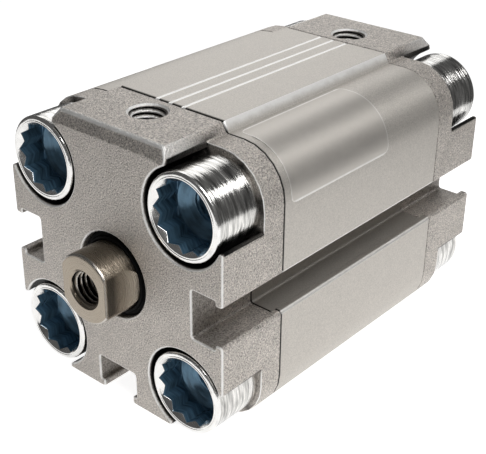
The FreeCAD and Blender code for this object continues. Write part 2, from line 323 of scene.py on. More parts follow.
def pocket_corner(raised, pad_edge):
    """The same corner where a pocket for a screw head opens it: an arc round the screw's axis."""
    outer, inner, past = 0.33, 0.28, 0.045
    reach = math.asin((SCREW - OPENING) / POCKET)
    at = np.linspace(-reach - past, reach - 1.5 * np.pi + past, 75)
    arc = np.stack((SCREW + POCKET * np.cos(at), SCREW + POCKET * np.sin(at), 0 * at), axis=-1)
    tip = SCREW + POCKET * math.cos(reach)
    before = BESIDE_CORNER[0]
    start = [(SIDE, before, 0), (SIDE, OPENING, outer), (tip, OPENING, inner)]
    if raised:
        end = [(OPENING, tip, inner), (OPENING, SIDE, 0.1), FLANK_FOOT, (PAD_HALF, PAD, pad_edge)]
    else:
        end = [(OPENING, tip, inner), (OPENING, SIDE, outer), (before, SIDE, 0)]
    return np.concatenate((start, arc, end))


def quarter(corners, turns):
    """Corners turned clockwise by quarter turns."""
    for _ in range(turns):
        corners = np.stack((corners[:, 1], -corners[:, 0], corners[:, 2]), axis=-1)
    return corners


def profile_outline(corner, pad_edge, marks=()):
    """Whole outline, counterclockwise from the left end of the pad's flat top to its right end.

    The flat top itself is the segment that closes the outline, unless marks lie on it.
    """
    top_right = corner(True, pad_edge)
    top_left = (top_right * (-1, 1, 1))[::-1]
    low = corner(False, pad_edge)
    order = [top_left, quarter(slot_corners(), 2), quarter(low, 2),
             quarter(slot_corners(), 1), quarter(low, 1), slot_corners(), top_right]
    order += [np.asarray(marks)] if len(marks) else []
    outline = rounded(np.concatenate(order))
    flat = np.flatnonzero(outline[:, 1] > PAD - 1e-9)
    first = flat[outline[flat, 0] < 0].max() if not len(marks) else 0
    return np.roll(outline, -first, axis=0)


def edge_rows(outline, radius, end, ahead=1.0, angles=QUARTER):
    """Rows round the edge of an end face at Y = end, for angles t from 0 to a right angle.

    A row is the outline moved inwards by r(1 - sin t) and along Y by r(1 - cos t), ahead or
    back (-1), so that the last row lies on the sides.
    """
    rows = []
    for t in angles:
        ring = inset(outline, radius * (1 - math.sin(t)))
        y = end + ahead * radius * (1 - math.cos(t)) + 0 * ring[:, 0]
        rows.append(np.stack((ring[:, 0], y, ring[:, 1]), axis=-1))
    return np.array(rows)


def in_slot(outline):
    """1 at the outline's points inside the T-slots, 0 elsewhere."""
    size = np.abs(outline)
    return 1.0 * ((size.max(axis=1) < SIDE - 0.3) & (size.min(axis=1) < SLOT_HALF + 0.1))


def screw_holes(radius):
    """Rings of the four screw holes."""
    return [circle(radius, 48, SCREW * a, SCREW * b) for a, b in CORNERS]


def screw_bores(skin, radius, start, end):
    """Walls of the four screw holes."""
    for a, b in CORNERS:
        skin.grid(turned([(radius, start), (radius, end)], 48, SCREW * a, SCREW * b))


# Caps

def set_back(settings, x, z):
    """Y of the front surface: slope soft ln(1 + exp((z - crease) / soft)), 0 below the crease."""
    crease, soft = settings.crease / MM, settings.crease_soft / MM
    return settings.slope * soft * np.logaddexp(0, (z - crease) / soft) + 0 * x


def cap_skin(settings, rod, joint_shade):
    """Outer and inner surface of a cap, from its front face to its spigot.

    The cap for the rod has its mouth and seats, and the other one a closed face. The joint
    shade is how dark the painted shade at the joint gets.
    """
    skin = Skin()
    pocketed = profile_outline(pocket_corner, settings.shoulder / MM)
    plain = profile_outline(plain_corner, settings.shoulder / MM)

    # The front edge's radius grows on the pad
    edge = settings.edge / MM
    lift = np.clip((pocketed[:, 1] - 20.4) / 0.6, 0, 1)
    radius = edge + (settings.pad_edge / MM - edge) * lift * lift * (3 - 2 * lift)
    inner = inset(pocketed, radius)
    start = set_back(settings, inner[:, 0], inner[:, 1])
    front = edge_rows(pocketed, radius, start)
    # The front edge's rounding gets a painted highlight with some scuffing
    skin.grid(front, wear=EDGE_HIGHLIGHT_AND_WEAR)
    cap_sides(skin, pocketed, front[-1])

    # Pocket floors, the rims round them and the joint's rounding
    room = np.minimum(np.abs(plain[:, 0]), np.abs(plain[:, 1]))
    at_pocket = np.clip((room - 10.2) / 0.4, 0, 1)
    rim = settings.rim_edge / MM * at_pocket
    rims = edge_rows(plain, rim, POCKET_DEPTH)
    # The rims round the pocket floors get a painted highlight with some scuffing
    skin.grid(rims, around=False, wear=EDGE_HIGHLIGHT_AND_WEAR[:, None] * at_pocket)
    holes = screw_holes(SHANK_HOLE)
    # The pocket floors are darkened as painted shade
    skin.flat([inset(plain, rim), pocketed] + holes, lambda x, z: POCKET_DEPTH, deep=0.85)
    joint = settings.joint_edge / MM * (1 + 0.5 * (plain[:, 1] > SIDE + 0.1))
    rear = edge_rows(plain, joint, CAP, -1.0)[::-1]
    skin.grid(np.array([rims[-1], rear[0]]), around=False)
    # Painted shade on the joint's rounding and on the face against the barrel
    skin.grid(rear, deep=joint_shade * np.array([0, 0.6, 1, 1, 1, 1]))
    skin.flat([inset(plain, joint), circle(SPIGOT)] + holes, lambda x, z: CAP, deep=joint_shade)
    screw_bores(skin, SHANK_HOLE, POCKET_DEPTH, CAP)

    pad_top(skin, settings, plain, start[0] + radius[0], CAP - joint[0], 1 if rod else -1)
    cap_front(skin, settings, inner, rod)
    return skin


def cap_sides(skin, outline, edge):
    """Sides from the front edge to the plane of the pocket floors, with painted shade in pockets
    and slots and a painted highlight on the pad's flank.
    """
    x, z = outline.T
    in_pocket = np.hypot(np.abs(x) - SCREW, np.abs(z) - SCREW) < POCKET + 0.65
    flank = (z > SIDE - 0.1) & (z < PAD - 0.02) & ~in_pocket
    rows = []
    for share in SHARES:
        row = edge.copy()
        row[:, 1] += (POCKET_DEPTH - row[:, 1]) * share
        rows.append(row)
    dark = np.array([0, 0.75, 1.0, 1.0])[:, None] * in_pocket
    skin.grid(np.array(rows), around=False, wear=np.tile(0.55 * flank, (len(rows), 1)),
              deep=np.maximum(dark, 0.3 * in_slot(outline)))


def pad_top(skin, settings, outline, front, rear, hand):
    """Flat top of a cap's pad, with the air port; hand is -1 on the cap that gets mirrored."""
    stops = [front + (POCKET_DEPTH - front) * share for share in SHARES] + [rear]
    loop = [(outline[0, 0], y) for y in stops] + [(outline[-1, 0], y) for y in stops[::-1]]
    port_y, mouth = CAP - PORT_TO_JOINT, settings.port_mouth / MM
    points, triangles = filled([np.array(loop), circle(mouth, 72, 0, port_y)])
    skin.add(np.stack((points[:, 0], points[:, 1], np.full(len(points), PAD)), axis=-1), triangles)

    # Thread: r = thread(depth / pitch + turn) below the countersunk mouth
    turn = np.arange(72) / 72
    pitch, radius = settings.port_pitch / MM, settings.port_radius / MM
    depth = np.concatenate(([0, 0.03, 0.12], np.linspace(0.2, PORT_DEPTH - 0.2, 70),
                            [PORT_DEPTH, PORT_DEPTH]))[:, None]
    cone = np.maximum(mouth - 1.2 * np.maximum(depth - 0.03, 0), radius)
    thread = thread_profile(depth / pitch + hand * turn, radius, 0.42)
    r = np.where(depth < 0.15, cone, np.maximum(thread, cone))
    r[-1] = POLE
    # Painted highlights on the thread's crests and the mouth's chamfer; painted shade in the roots and
    # at the bottom
    painted_light_and_wear = np.where(r < radius + 0.12, 3.0, 0.0)
    painted_light_and_wear[(depth[:, 0] > 0) & (depth[:, 0] < 0.25)] = 2.0
    sunk = np.clip((r - radius - 0.15) / 0.2, 0, 1) * (depth > 0.3)
    sunk[-1] = 1.0
    at = turn * 2 * np.pi
    points = np.stack((r * np.cos(at), port_y + r * np.sin(at), PAD - depth + 0 * r), axis=-1)
    skin.grid(points, wear=painted_light_and_wear, deep=sunk)


def cap_front(skin, settings, outline, rod):
    """Front face, with rows of points along its crease, and the turned hollow behind it."""
    crease = settings.crease / MM
    columns, lines = np.meshgrid(np.linspace(-8.6, 8.6, 30),
                                 [crease - 0.25, crease - 0.1, crease, crease + 0.1,
                                  crease + 0.25, 20.1])
    extra = np.stack((columns.ravel(), lines.ravel()), axis=-1)
    lip = 0.3
    rings = [outline, circle(MOUTH + lip)] if rod else [outline]
    skin.flat(rings, lambda x, z: set_back(settings, x, z), [extra])
    if rod:
        curve = (MOUTH + lip - lip * np.sin(QUARTER), lip - lip * np.cos(QUARTER))
        # The mouth's rounding gets a painted highlight with some scuffing
        skin.grid(turned(np.stack(curve, axis=-1)), wear=EDGE_HIGHLIGHT_AND_WEAR)
        skin.grid(turned([(MOUTH, lip), (MOUTH, MOUTH_END), (SEAL_SEAT, MOUTH_END),
                          (SEAL_SEAT, SEAL_SEAT_END), (LAND, SEAL_SEAT_END), (LAND, LAND_END),
                          (BUSH_SEAT, LAND_END), (BUSH_SEAT, BUMPER_FLOOR)]))
    groove = (CAP + RING_WALL, SPIGOT_END - RING_WALL)
    skin.grid(turned([(BUSH_SEAT if rod else POLE, BUMPER_FLOOR), (BUMPER_SEAT, BUMPER_FLOOR),
                      (BUMPER_SEAT, SPIGOT_END), (SPIGOT, SPIGOT_END), (SPIGOT, groove[1]),
                      (RING_GROOVE, groove[1]), (RING_GROOVE, groove[0]), (SPIGOT, groove[0]),
                      (SPIGOT, CAP)]))


# Barrel and label

def barrel_skin(settings):
    """Extrusion of the outline with its marks; both ends' edges are rounded a little."""
    skin = Skin()
    edge = settings.edge / MM
    half, depth = settings.mark_width / MM / 2, settings.mark_depth / MM
    marks = [(place + side * half, PAD - (abs(side) < 1) * depth, 0)
             for place in (MARK_SPACING, 0.0, -MARK_SPACING) for side in (1, 0.75, -0.75, -1)]
    outline = profile_outline(plain_corner, settings.shoulder / MM, marks)
    across, up, size = np.abs(outline[:, 0]), outline[:, 1], np.abs(outline)
    wide = edge * (1 + 1.2 * (up > PAD - 0.3) * (across < PAD_HALF + 0.15))
    angles = np.radians(np.linspace(0, 90, 4))
    front = edge_rows(outline, wide, CAP, 1.0, angles)
    rear = edge_rows(outline, edge, LENGTH - CAP, -1.0, angles)[::-1]

    # Painted highlights on the marks, flanks and slot lips; painted shade at the front joint, less at
    # the rear joint, and in the slots
    on_mark = (up < PAD - 0.01) & (up > 20) & (across < 3)
    flank = (across > 9.2) & (across < 10.8) & (up > SIDE - 0.02) & (up < PAD - 0.02)
    flank &= np.abs(up - 20.2) > 0.45
    lips = (np.abs(size.max(axis=1) - SIDE + 0.13) < 0.125) & (size.min(axis=1) < 3.4)
    wear = np.where(on_mark, 2.0, 0.0) + 1.5 * flank + 0.6 * lips
    joint_shade = np.array([1, 1, 0.9, 0])
    row_shade = np.concatenate((joint_shade, 0.3 * joint_shade[::-1]))[:, None]
    skin.grid(np.concatenate((front, rear)), wear=np.tile(wear, (len(row_shade), 1)),
              deep=np.maximum(row_shade, 0.25 * in_slot(outline)))
    # The end faces are darkened as painted shade, fully at the front joint and less at the rear
    for y, distance, dark in ((CAP, wide, 1.0), (LENGTH - CAP, edge, 0.3)):
        skin.flat([inset(outline, distance), circle(BORE)] + screw_holes(BARREL_HOLE),
                  lambda x, z, y=y: y, deep=dark)
    skin.grid(turned([(BORE, CAP), (BORE, LENGTH - CAP)]))
    screw_bores(skin, BARREL_HOLE, CAP, LENGTH - CAP)
    return skin


def label_skin(settings):
    """Foil bent over the profile's round corner, with round corners of its own.

    Its rows run along the corner's outline and its columns along Y. In a row that lies d from
    the upper or lower edge the columns end short by r - sqrt(r^2 - (r - d)^2), for d under r.
    """
    above, below = SCREW - settings.top / MM, SCREW - settings.bottom / MM
    arc = CORNER * np.pi / 2
    s = np.linspace(-above, arc + below, 72)
    r = settings.round_corner / MM
    away = np.clip(np.minimum(s - s[0], s[-1] - s), 0, r)
    short = r - np.sqrt(np.maximum(r * r - (r - away) ** 2, 0))
    front, rear = settings.front / MM, settings.rear / MM
    share = np.linspace(0, 1, 90)[None, :]
    y = (front + short)[:, None] + (rear - front - 2 * short)[:, None] * share
    at = np.clip(s / CORNER, 0, np.pi / 2)
    before, after = np.minimum(s, 0), np.maximum(s - arc, 0)

    def surface(lift):
        radius = CORNER + lift
        x = SCREW + radius * np.sin(at) + before
        z = SCREW + radius * np.cos(at) - after
        return np.stack((x[:, None] + 0 * y, y, z[:, None] + 0 * y), axis=-1)

    # A painted highlight with some scuffing along the foil's edges
    highlight_and_rub, under = 0.6, -0.1
    edge = np.full(y.shape, highlight_and_rub)
    edge[2:-2, 1:-1] = 0
    upper, lower = surface(settings.thickness / MM), surface(under)
    skin = Skin()
    skin.grid(upper, around=False, wear=edge)
    skin.grid(lower, around=False)
    for border in (np.s_[0], np.s_[-1], np.s_[:, 0], np.s_[:, -1]):
        skin.grid(np.array([lower[border], upper[border]]), around=False, wear=highlight_and_rub)
    return skin


# Screws, rod and seal

def star_radius(theta, tip, notch):
    """Radius of the socket's straight-sided star: a b sin B / (a sin t + b sin(B - t))."""
    half = np.pi / STAR_POINTS
    t = np.abs((theta + half) % (2 * half) - half)
    return tip * notch * math.sin(half) / (tip * np.sin(t) + notch * np.sin(half - t))


def screw_skin(settings, corner, hand):
    """Hollow socket screw as one polar surface r(row, turn), y(row, turn).

    A 45 degree countersink meets the star's walls where y = face + sink - r. Hand is -1 on
    the screws that get mirrored, so that all threads are right-handed.
    """
    samples = 168
    turn = np.arange(samples) / samples
    theta = turn * 2 * np.pi
    tip, notch = settings.tip / MM, settings.notch / MM
    ring, sink = settings.ring / MM, settings.sink / MM
    bevel, pitch = settings.bevel / MM, settings.pitch / MM
    floor, soft, chamfer, point = settings.socket_depth / MM, 0.04, 0.15, 0.4

    # Shank and the head's side with its turned line
    rows = [(POLE, SHANK_END), (SHANK - point, SHANK_END), (SHANK, SHANK_END - point),
            (SHANK, POCKET_DEPTH), (HEAD - chamfer, POCKET_DEPTH), (HEAD, POCKET_DEPTH - chamfer)]
    side = np.linspace(POCKET_DEPTH - 0.25, HEAD_FACE + bevel + 0.05, 60)
    line = np.exp(-((side - HEAD_FACE - bevel - 0.55) / 0.1) ** 2) * settings.groove / MM
    rows += list(zip(HEAD - line, side))

    # Face with its fine ring
    first = len(rows)
    rows += [(HEAD - bevel * (1 - math.cos(t)), HEAD_FACE + bevel * (1 - math.sin(t)))
             for t in QUARTER]
    rows += [(ring + 0.07, HEAD_FACE), (ring, HEAD_FACE + 0.05), (ring - 0.07, HEAD_FACE),
             (sink, HEAD_FACE)]

    # Star socket, its drilled floor and the thread through the shank
    inside = len(rows)
    star = star_radius(theta, tip, notch)
    cone = HEAD_FACE + sink - star
    rows += [(star + soft, cone - soft), (star, cone + soft)]
    rows += [(star, cone + (floor - soft - cone) * share) for share in (0.15, 0.4, 0.7, 1.0)]
    rows += [(star - soft, floor)]
    rows += [(r, floor + 0.09 * k + 0.05 * (k % 2))
             for k, r in enumerate(np.linspace(notch - 0.15, THREAD + 0.25, 13))]
    rows += [(THREAD + 0.15, floor + 1.25)]
    rows += [(thread_profile(y / pitch + hand * turn, THREAD, 0.4), y)
             for y in np.linspace(floor + 1.3, floor + 7.6, 76)]
    rows += [(THREAD, floor + 8), (POLE, floor + 8)]

    r, y = (np.array([np.broadcast_to(row[k], samples) for row in rows]) for k in (0, 1))
    points = np.stack((SCREW * corner[0] + r * np.cos(theta), y,
                       SCREW * corner[1] + r * np.sin(theta)), axis=-1)
    # Painted highlights with some scuffing over the head's rounding and face; from the socket's walls
    # inwards its tint, darkened as painted shade
    wear, deep = np.zeros(len(rows)), np.zeros(len(rows))
    wear[first:inside + 1] = 1
    deep[inside + 1:] = 1
    skin = Skin()
    skin.grid(points, wear=wear, deep=deep)
    return skin


def flat_at(y):
    """Distance of the rod's wrench flats from its axis; they run out in their cutter's round."""
    away = min(max(y - FLAT_END, 0.0), CUTTER)
    return FLAT + CUTTER - math.sqrt(CUTTER ** 2 - away ** 2)


def rod_row(radius, y):
    """One row (r, y, t) of the rod: r = min(radius, flat / |cos t|) where the flats are.

    The columns crowd so that the edge of each flat lies on a column: t runs from -b to b over
    a flat and from b to 180 - b over the round, with cos b = flat / radius.
    """
    outer = max(radius, FLAT + 0.5) if y < ROD_FACE + 0.6 else ROD
    b = max(math.acos(min(flat_at(y) / outer, 1.0)), 0.01)
    over_flat = -b + 2 * b * np.linspace(0, 1, 24, endpoint=False)
    over_round = b + (np.pi - 2 * b) * np.linspace(0, 1, 60, endpoint=False)
    t = np.concatenate((over_flat, over_round, np.pi + over_flat, np.pi + over_round))
    r = np.minimum(radius, flat_at(y) / np.maximum(np.abs(np.cos(t)), 1e-6))
    return r, y + 0 * t, t


def rod_skin(settings):
    """Rod as one polar surface from its stud to the bottom of its thread."""
    bevel, mouth, pitch = settings.edge / MM, settings.mouth / MM, settings.pitch / MM
    root, crest, chamfer, shoulder_chamfer = 2.75, 2.15, 0.3, 0.1
    before_flats, run_out, mid_flat = 6.0, 1.02, -3.4
    rows = [rod_row(*place) for place in (
        (POLE, ROD_END), (STUD - chamfer, ROD_END), (STUD, ROD_END - chamfer),
        (STUD, ROD_SHOULDER), (ROD - shoulder_chamfer, ROD_SHOULDER),
        (ROD, ROD_SHOULDER - shoulder_chamfer), (ROD, before_flats))]
    rows += [rod_row(ROD, y) for y in np.linspace(run_out, FLAT_END, 22)]
    rows += [rod_row(ROD, mid_flat), rod_row(ROD, ROD_FACE + bevel + 0.16)]
    sides = len(rows)
    rows += [rod_row(ROD - bevel * (1 - math.cos(t)), ROD_FACE + bevel * (1 - math.sin(t)))
             for t in QUARTER]
    rows += [rod_row(mouth, ROD_FACE), rod_row(mouth - 0.03, ROD_FACE + 0.02)]

    # Thread, on the columns of a row inside the mouth
    thread = len(rows)
    t = rod_row(crest, ROD_FACE)[2]
    for y in np.linspace(ROD_FACE + 0.08, ROD_THREAD_END - 0.3, 150):
        depth = y - ROD_FACE
        r = thread_profile(depth / pitch + t / (2 * np.pi), crest, root - crest)
        rows.append((np.maximum(r, mouth - 1.1 * depth), y + 0 * t, t))
    rows += [(r + 0 * t, ROD_THREAD_END + 0 * t, t) for r in (THREAD, POLE)]
    r, y, t = (np.array([row[k] for row in rows]) for k in range(3))
    points = np.stack((r * np.cos(t), y, r * np.sin(t)), axis=-1)

    # Painted highlights on the rim and the thread's crests, painted shade on the flats and in the
    # thread's roots
    wear = np.zeros(r.shape)
    wear[sides + 1:sides + 4] = 1
    wear[thread:] = np.where(r[thread:] < crest + 0.05, 1.5, 0)
    deep = 0.75 * ((r < ROD - 0.02) & (y < FLAT_END - 0.1))
    deep[sides:] = 0
    deep[thread:] = np.clip((r[thread:] - crest - 0.05) / 0.25, 0, 1) * (y[thread:] > ROD_FACE + 0.4)
    skin = Skin()
    skin.grid(points, wear=wear, deep=deep)
    return skin


def seal_skin():
    """Turned seal ring, its wiper lip rounded; the section's points are (radius, y)."""
    tip = np.radians(np.linspace(180, 0, 9))
    lip = np.stack((5.3 + 0.22 * np.cos(tip), 0.32 - 0.22 * np.sin(tip)), axis=-1)
    section = np.concatenate((
        [(5.05, 4.1), (5.05, 2.6), (5.12, 1.6)], lip,
        [(5.62, 0.52), (5.95, 0.62), (6.1, 0.75), (6.15, 1.25), (7.35, 1.25), (7.35, 4.55),
         (5.55, 4.55), (5.05, 4.1)]))
    skin = Skin()
    skin.grid(turned(section, 128))
    return skin


# Materials

def socket(group, name, kind, direction, value=None):
    item = group.interface.new_socket(name=name, in_out=direction, socket_type=kind)
    if value is not None:
        item.default_value = value
    return item


def wire(tree, *pairs):
    for start, end in pairs:
        tree.links.new(start, end)


def node(tree, kind, x, y, **settings):
    item = tree.nodes.new(kind)
    item.location = (x, y)
    for key, value in settings.items():
        setattr(item, key, value)
    return item


def maths(tree, operation, first, second, x, y):
    item = node(tree, "ShaderNodeMath", x, y, operation=operation)
    for place, value in enumerate((first, second)):
        if isinstance(value, (int, float)):
            item.inputs[place].default_value = value
        elif value is not None:
            tree.links.new(value, item.inputs[place])
    return item.outputs[0]


def cast_group():
    """Blasted casting: fine grains and a few pits, as a colour factor and a height."""
    group = bpy.data.node_groups.new("Cast grain", "ShaderNodeTree")
    socket(group, "Grain size", "NodeSocketFloat", "INPUT", 1.0)
    socket(group, "Contrast", "NodeSocketFloat", "INPUT", 0.3)
    socket(group, "Pits", "NodeSocketFloat", "INPUT", 0.5)
    socket(group, "Factor", "NodeSocketFloat", "OUTPUT")
    socket(group, "Height", "NodeSocketFloat", "OUTPUT")
    inside = node(group, "NodeGroupInput", -900, 0)
    out = node(group, "NodeGroupOutput", 700, 0)
    place = node(group, "ShaderNodeTexCoord", -900, 300).outputs["Object"]
    fine = node(group, "ShaderNodeTexNoise", -500, 300)
    fine.inputs["Detail"].default_value = 2.0
    fine.inputs["Roughness"].default_value = 0.6
    coarse = node(group, "ShaderNodeTexNoise", -500, 0)
    coarse.inputs["Detail"].default_value = 2.0
    pits = node(group, "ShaderNodeTexVoronoi", -500, -300)
    wire(group, (place, fine.inputs["Vector"]), (place, coarse.inputs["Vector"]),
         (place, pits.inputs["Vector"]))
    size = inside.outputs["Grain size"]
    wire(group, (maths(group, "DIVIDE", 4800.0, size, -700, 300), fine.inputs["Scale"]),
         (maths(group, "DIVIDE", 420.0, size, -700, 0), coarse.inputs["Scale"]),
         (maths(group, "DIVIDE", 520.0, size, -700, -300), pits.inputs["Scale"]))
    grain = maths(group, "SUBTRACT", fine.outputs["Fac"], 0.5, -300, 300)
    cloud = maths(group, "SUBTRACT", coarse.outputs["Fac"], 0.5, -300, 0)
    both = maths(group, "ADD", maths(group, "MULTIPLY", grain, 2.2, -100, 300),
                 maths(group, "MULTIPLY", cloud, 0.25, -100, 0), 100, 200)
    hole = maths(group, "LESS_THAN", pits.outputs["Distance"], 0.1, -300, -300)
    hole = maths(group, "MULTIPLY", hole, inside.outputs["Pits"], -100, -300)
    factor = maths(group, "MULTIPLY", both, inside.outputs["Contrast"], 300, 200)
    factor = maths(group, "ADD", factor, 1.0, 400, 200)
    factor = maths(group, "SUBTRACT", factor, maths(group, "MULTIPLY", hole, 0.25, 300, -100),
                   500, 200)
    height = maths(group, "SUBTRACT", both, maths(group, "MULTIPLY", hole, 1.5, 300, -300), 500, -200)
    wire(group, (factor, out.inputs["Factor"]), (height, out.inputs["Height"]))
    return group


def highlight_and_shade_group():
    """Painted highlights and some scuffing on edges, painted shade in depths: the piece's own masks,
    the first broken up by noise.
    """
    group = bpy.data.node_groups.new("Edge wear", "ShaderNodeTree")
    socket(group, "Amount", "NodeSocketFloat", "INPUT", 0.5)
    socket(group, "Mask", "NodeSocketFloat", "OUTPUT")
    socket(group, "Deep", "NodeSocketFloat", "OUTPUT")
    inside = node(group, "NodeGroupInput", -700, 0)
    out = node(group, "NodeGroupOutput", 500, 0)
    edge = node(group, "ShaderNodeAttribute", -700, 300, attribute_name="wear")
    place = node(group, "ShaderNodeTexCoord", -700, -200).outputs["Object"]
    patchy = node(group, "ShaderNodeTexNoise", -500, -200)
    patchy.inputs["Scale"].default_value = 700.0
    patchy.inputs["Detail"].default_value = 3.0
    wire(group, (place, patchy.inputs["Vector"]))
    share = maths(group, "MULTIPLY", edge.outputs["Fac"],
                  maths(group, "ADD", patchy.outputs["Fac"], 0.45, -300, -200), -100, 0)
    mask = maths(group, "MULTIPLY", share, inside.outputs["Amount"], 100, 0)
    low = node(group, "ShaderNodeClamp", 300, 0)
    hollow = node(group, "ShaderNodeAttribute", -100, -400, attribute_name="deep")
    wire(group, (mask, low.inputs["Value"]), (low.outputs[0], out.inputs["Mask"]),
         (hollow.outputs["Fac"], out.inputs["Deep"]))
    return group


def turned_group():
    """Fine rings round the piece's own screw or rod axis, from its own radius and depth."""
    group = bpy.data.node_groups.new("Turned rings", "ShaderNodeTree")
    socket(group, "Contrast", "NodeSocketFloat", "INPUT", 0.3)
    socket(group, "Lines per mm", "NodeSocketFloat", "INPUT", 6.0)
    socket(group, "Axis offset", "NodeSocketFloat", "INPUT", 0.0)
    socket(group, "Factor", "NodeSocketFloat", "OUTPUT")
    socket(group, "Height", "NodeSocketFloat", "OUTPUT")
    inside = node(group, "NodeGroupInput", -900, 0)
    out = node(group, "NodeGroupOutput", 700, 0)
    place = node(group, "ShaderNodeTexCoord", -1300, 300).outputs["Object"]
    parts = node(group, "ShaderNodeSeparateXYZ", -1100, 300)
    wire(group, (place, parts.inputs[0]))
    across, screw_side = [], 0.0075
    for axis, spot in (("X", 300), ("Z", 0)):
        size = maths(group, "ABSOLUTE", parts.outputs[axis], None, -900, spot)
        near = maths(group, "GREATER_THAN", size, screw_side, -900, spot - 60)
        middle = maths(group, "MULTIPLY", near, inside.outputs["Axis offset"], -800, spot - 60)
        across.append(maths(group, "SUBTRACT", size, middle, -700, spot))
    squares = maths(group, "ADD", maths(group, "MULTIPLY", across[0], across[0], -600, 300),
                    maths(group, "MULTIPLY", across[1], across[1], -600, 0), -500, 200)
    radius = maths(group, "SQRT", squares, None, -400, 200)
    along = maths(group, "ADD", radius, parts.outputs["Y"], -300, 200)
    scaled = maths(group, "MULTIPLY", along,
                   maths(group, "MULTIPLY", inside.outputs["Lines per mm"], 1000.0, -400, -100),
                   -200, 100)
    line = node(group, "ShaderNodeCombineXYZ", -100, 100)
    wire(group, (scaled, line.inputs[0]),
         (maths(group, "MULTIPLY", parts.outputs["X"], 350.0, -300, -200), line.inputs[1]),
         (maths(group, "MULTIPLY", parts.outputs["Z"], 350.0, -300, -300), line.inputs[2]))
    noise = node(group, "ShaderNodeTexNoise", 0, 100)
    noise.inputs["Scale"].default_value = 1.0
    noise.inputs["Detail"].default_value = 3.0
    wire(group, (line.outputs[0], noise.inputs["Vector"]))
    rings = maths(group, "SUBTRACT", noise.outputs["Fac"], 0.5, 200, 100)
    factor = maths(group, "ADD", maths(group, "MULTIPLY", rings, inside.outputs["Contrast"],
                                       400, 100), 1.0, 500, 100)
    wire(group, (factor, out.inputs["Factor"]), (rings, out.inputs["Height"]))
    return group


def finish_material(name, base, metallic, roughness, group, group_settings, bump, bump_height,
                    rough_share, edge=None, edge_amount=0.0, hollow=None, hollow_metallic=None):
    """Principled surface whose colour, roughness and height follow an effect group.

    Bump height is in millimetres, and rough share is how far the height changes the roughness.
    Edge is the colour of painted highlights and scuffed edges, and hollow that of painted shade in
    depths, with the screws' socket tint, which are as metallic as hollow_metallic says.
    """
    material = bpy.data.materials.new(name)
    material.use_nodes = True
    tree = material.node_tree
    surface = tree.nodes["Principled BSDF"]
    surface.location = (700, 0)
    tree.nodes["Material Output"].location = (1000, 0)
    surface.inputs["Metallic"].default_value = metallic
    surface.inputs["Specular IOR Level"].default_value = 0.5 if metallic > 0 else 0.1
    effect = node(tree, "ShaderNodeGroup", -500, 100, node_tree=group)
    for key, value in group_settings.items():
        effect.inputs[key].default_value = value
    tone = node(tree, "ShaderNodeVectorMath", -100, 200, operation="SCALE")
    tone.inputs[0].default_value = base
    wire(tree, (effect.outputs["Factor"], tone.inputs["Scale"]))
    colour_out = tone.outputs[0]
    if edge is not None:
        highlight_and_rub = node(tree, "ShaderNodeGroup", -500, -200,
                      node_tree=bpy.data.node_groups["Edge wear"])
        highlight_and_rub.inputs["Amount"].default_value = edge_amount
        mix = node(tree, "ShaderNodeMix", 300, 200, data_type="RGBA")
        mix.inputs["B"].default_value = (*edge, 1.0)
        dark = node(tree, "ShaderNodeMix", 100, 300, data_type="RGBA")
        depth = node(tree, "ShaderNodeVectorMath", -100, 400, operation="SCALE")
        depth.inputs[0].default_value = hollow
        wire(tree, (effect.outputs["Factor"], depth.inputs["Scale"]),
             (depth.outputs[0], dark.inputs["B"]), (highlight_and_rub.outputs["Deep"], dark.inputs["Factor"]),
             (colour_out, dark.inputs["A"]), (dark.outputs["Result"], mix.inputs["A"]),
             (highlight_and_rub.outputs["Mask"], mix.inputs["Factor"]))
        colour_out = mix.outputs["Result"]
        if hollow_metallic is not None:
            share = maths(tree, "MULTIPLY", highlight_and_rub.outputs["Deep"], hollow_metallic - metallic,
                          100, -500)
            wire(tree, (maths(tree, "ADD", share, metallic, 300, -500),
                        surface.inputs["Metallic"]))
    wire(tree, (colour_out, surface.inputs["Base Color"]))
    rough = maths(tree, "ADD", maths(tree, "MULTIPLY", effect.outputs["Height"], rough_share,
                                     100, -100), roughness, 300, -100)
    wire(tree, (rough, surface.inputs["Roughness"]))
    relief = node(tree, "ShaderNodeBump", 500, -300)
    relief.inputs["Strength"].default_value = bump
    relief.inputs["Distance"].default_value = bump_height * MM
    wire(tree, (effect.outputs["Height"], relief.inputs["Height"]),
         (relief.outputs["Normal"], surface.inputs["Normal"]))
    return material


class CylinderFinishes(bpy.types.PropertyGroup):
    cast: colour("Casting", "Colour of the blasted cast caps", (0.52, 0.483, 0.446))
    cast_roughness: amount("Casting roughness", "Roughness of the cast caps", 0.48)
    profile: colour("Barrel", "Colour of the anodised barrel", (0.56, 0.53, 0.49))
    profile_roughness: amount("Barrel roughness", "Roughness of the barrel", 0.54)
    steel: colour("Screws", "Colour of the screws' plated steel", (0.58, 0.57, 0.55))
    steel_roughness: amount("Screw roughness", "Roughness of the screws", 0.2)
    # The sockets' tint, darkened as painted shade
    socket_tint_and_shade: colour("Sockets", "Colour of the screws' sockets", (0.10, 0.19, 0.27))
    rod: colour("Rod", "Colour of the rod's steel", (0.35, 0.302, 0.243))
    rod_roughness: amount("Rod roughness", "Roughness of the rod", 0.28)
    rubber: colour("Seal", "Colour of the black rubber", (0.002, 0.002, 0.002))
    bumper: colour("Bumper", "Colour of the bumper rings", (0.10, 0.10, 0.11))
    bronze: colour("Bush", "Colour of the bronze bush", (0.58, 0.40, 0.22))
    magnet: colour("Magnet", "Colour of the bonded magnet ring", (0.045, 0.042, 0.045))
    plastic: colour("Guide ring", "Colour of the guide ring", (0.62, 0.60, 0.52))
    foil: colour("Foil", "Colour of the bare label foil", (0.58, 0.55, 0.51))
    foil_roughness: amount("Foil roughness", "Roughness of the label foil", 0.52)


